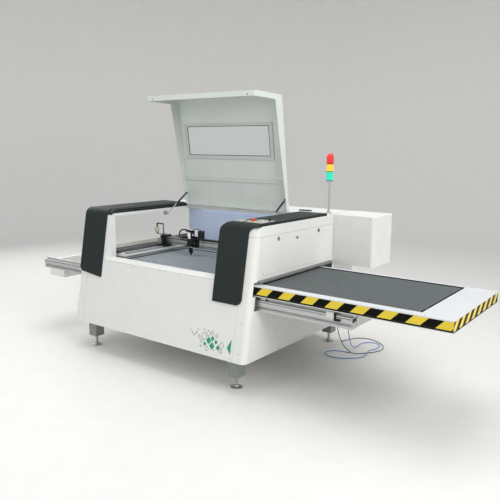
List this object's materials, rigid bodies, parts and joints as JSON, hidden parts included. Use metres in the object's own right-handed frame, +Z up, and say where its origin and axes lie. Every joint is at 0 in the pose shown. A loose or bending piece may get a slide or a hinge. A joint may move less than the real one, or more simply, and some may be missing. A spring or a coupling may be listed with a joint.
{
  "type": "carbon dioxide laser cutting machine",
  "caption": "Laser cutter with a lift-up windowed lid, a gantry head inside, and coupled exchange tables that slide out on rails through slots in the sides.",
  "frame": {"origin": "on the floor, under the middle of the whole machine's footprint, cords left out", "axes": "+X to the operator's right, along the tables' travel; +Y away from the operator; +Z up"},
  "size_m": [4.309, 1.9278, 2.3993],
  "materials": {
    "body_white": "satin",
    "cover_dark": "satin",
    "frame_paint": "satin",
    "lid_paint": "satin",
    "wall_blue": "matte",
    "steel": "satin",
    "chrome": "polished",
    "aluminium": "satin",
    "table_paint": "satin",
    "mesh_steel": "matte",
    "black_plastic": "matte",
    "seal_rubber": "matte",
    "bezel_rubber": "matte",
    "pane": "gloss",
    "tube_glass": "clear",
    "lens_green": "gloss",
    "lens_amber": "gloss",
    "lens_red": "gloss",
    "red_plastic": "gloss",
    "white_plastic": "gloss",
    "hose_blue": "satin",
    "cable_black": "matte",
    "head_white": "satin",
    "head_black": "satin",
    "console_grey": "satin"
  },
  "bodies": {
    "cabinet": {"base_frame": "frame_paint", "levelling_feet": "steel", "front_panel": "body_white", "left_side_skin": "body_white", "right_side_skin": "body_white", "left_arm": "body_white", "right_arm": "body_white", "left_arm_cover": "cover_dark", "right_arm_cover": "cover_dark", "rear_deck": "body_white", "rear_panel": "body_white", "bottom_pan": "body_white", "inner_back_wall": "wall_blue", "tube_box": "body_white", "laser_tube": "tube_glass", "tube_supports": "white_plastic", "first_mirror": "aluminium", "light_stem": "aluminium", "green_lens": "lens_green", "amber_lens": "lens_amber", "red_lens": "lens_red", "control_console": "console_grey", "y_beams": "aluminium", "rail_covers": "head_black", "exchange_rails": "aluminium", "rail_braces": "body_white", "slot_seals": "seal_rubber", "service_panel": "body_white", "lid_hinges": "chrome", "strut_brackets": "steel", "cable_glands": "black_plastic", "air_hose": "hose_blue", "sensor_cable": "cable_black", "cord_ends": "black_plastic"},
    "lid": {"lid_shell": "lid_paint", "lid_window": "pane", "window_bezel": "bezel_rubber"},
    "left_rod": {"left_strut_rod": "chrome"},
    "left_cylinder": {"left_strut_cylinder": "black_plastic"},
    "right_rod": {"right_strut_rod": "chrome"},
    "right_cylinder": {"right_strut_cylinder": "black_plastic"},
    "gantry": {"gantry_beam": "aluminium", "gantry_trucks": "head_black", "x_motor": "black_plastic", "gantry_mirror": "aluminium"},
    "head": {"head_carriage": "head_white", "laser_head": "head_black"},
    "lens": {"lens_tube": "chrome"},
    "right_exchange_table": {"right_table": "table_paint", "right_bed": "mesh_steel", "right_trucks": "steel"},
    "left_exchange_table": {"left_table": "table_paint", "left_bed": "mesh_steel", "left_trucks": "steel"},
    "emergency_stop": {"estop_button": "red_plastic"},
    "start": {"start_button": "white_plastic"},
    "key": {"key_switch": "black_plastic"},
    "latch_front": {"front_latch": "black_plastic"},
    "latch_rear": {"rear_latch": "black_plastic"},
    "lock": {"panel_lock": "black_plastic"}
  },
  "joints": [
    {"name": "lid_hinge", "type": "hinge", "parent": "cabinet", "child": "lid", "pos_m": [-0.4485, 0.34945, 1.32], "axis": [1, 0, 0], "range_deg": [0, 81.6]},
    {"name": "right_table_slide", "type": "slide", "parent": "cabinet", "child": "right_exchange_table", "axis": [1, 0, 0], "range_m": [-1.629, 0]},
    {"name": "left_table_slide", "type": "slide", "parent": "cabinet", "child": "left_exchange_table", "axis": [1, 0, 0], "range_m": [-1.629, 0]},
    {"name": "gantry_slide", "type": "slide", "parent": "cabinet", "child": "gantry", "axis": [0, 1, 0], "range_m": [-0.5, 0.32]},
    {"name": "head_slide", "type": "slide", "parent": "gantry", "child": "head", "axis": [1, 0, 0], "range_m": [-0.31, 0.73]},
    {"name": "lens_focus", "type": "slide", "parent": "head", "child": "lens", "axis": [0, 0, 1], "range_m": [-0.008, 0.02]},
    {"name": "emergency_stop_push", "type": "slide", "parent": "cabinet", "child": "emergency_stop", "axis": [0, 0, 1], "range_m": [-0.005, 0]},
    {"name": "start_push", "type": "slide", "parent": "cabinet", "child": "start", "axis": [0, 0, 1], "range_m": [-0.003, 0], "stiffness_N_per_m": 500},
    {"name": "key_turn", "type": "hinge", "parent": "cabinet", "child": "key", "pos_m": [0.5635, -0.50455, 1.336], "axis": [0, 0, 1], "range_deg": [-60, 0]},
    {"name": "front_latch_turn", "type": "hinge", "parent": "cabinet", "child": "latch_front", "pos_m": [0.6165, -0.45755, 1.2], "axis": [1, 0, 0], "range_deg": [0, 90]},
    {"name": "rear_latch_turn", "type": "hinge", "parent": "cabinet", "child": "latch_rear", "pos_m": [0.6165, 0.17445, 1.2], "axis": [1, 0, 0], "range_deg": [0, 90]},
    {"name": "panel_lock_turn", "type": "hinge", "parent": "cabinet", "child": "lock", "pos_m": [0.6165, -0.17555, 1.178], "axis": [1, 0, 0], "range_deg": [0, 90]},
    {"name": "left_strut_swing", "type": "hinge", "parent": "cabinet", "child": "left_rod", "pos_m": [-1.0755, 0.00245, 1.24], "axis": [1, 0, 0], "range_deg": [-23.6, 0]},
    {"name": "left_strut_stroke", "type": "slide", "parent": "left_rod", "child": "left_cylinder", "axis": [0, 0.8268, 0.5626], "range_m": [-0.1266, 0]},
    {"name": "right_strut_swing", "type": "hinge", "parent": "cabinet", "child": "right_rod", "pos_m": [0.1825, 0.00245, 1.24], "axis": [1, 0, 0], "range_deg": [-23.6, 0]},
    {"name": "right_strut_stroke", "type": "slide", "parent": "right_rod", "child": "right_cylinder", "axis": [0, 0.8268, 0.5626], "range_m": [-0.1266, 0]}
  ],
  "couplings": [
    {"joint": "left_table_slide", "follows": "right_table_slide", "ratio": 1},
    {"joint": "left_strut_swing", "follows": "lid_hinge", "ratio": -0.2882},
    {"joint": "left_strut_stroke", "follows": "lid_hinge", "m_per_rad": -0.08862},
    {"joint": "right_strut_swing", "follows": "lid_hinge", "ratio": -0.2882},
    {"joint": "right_strut_stroke", "follows": "lid_hinge", "m_per_rad": -0.08862}
  ]
}
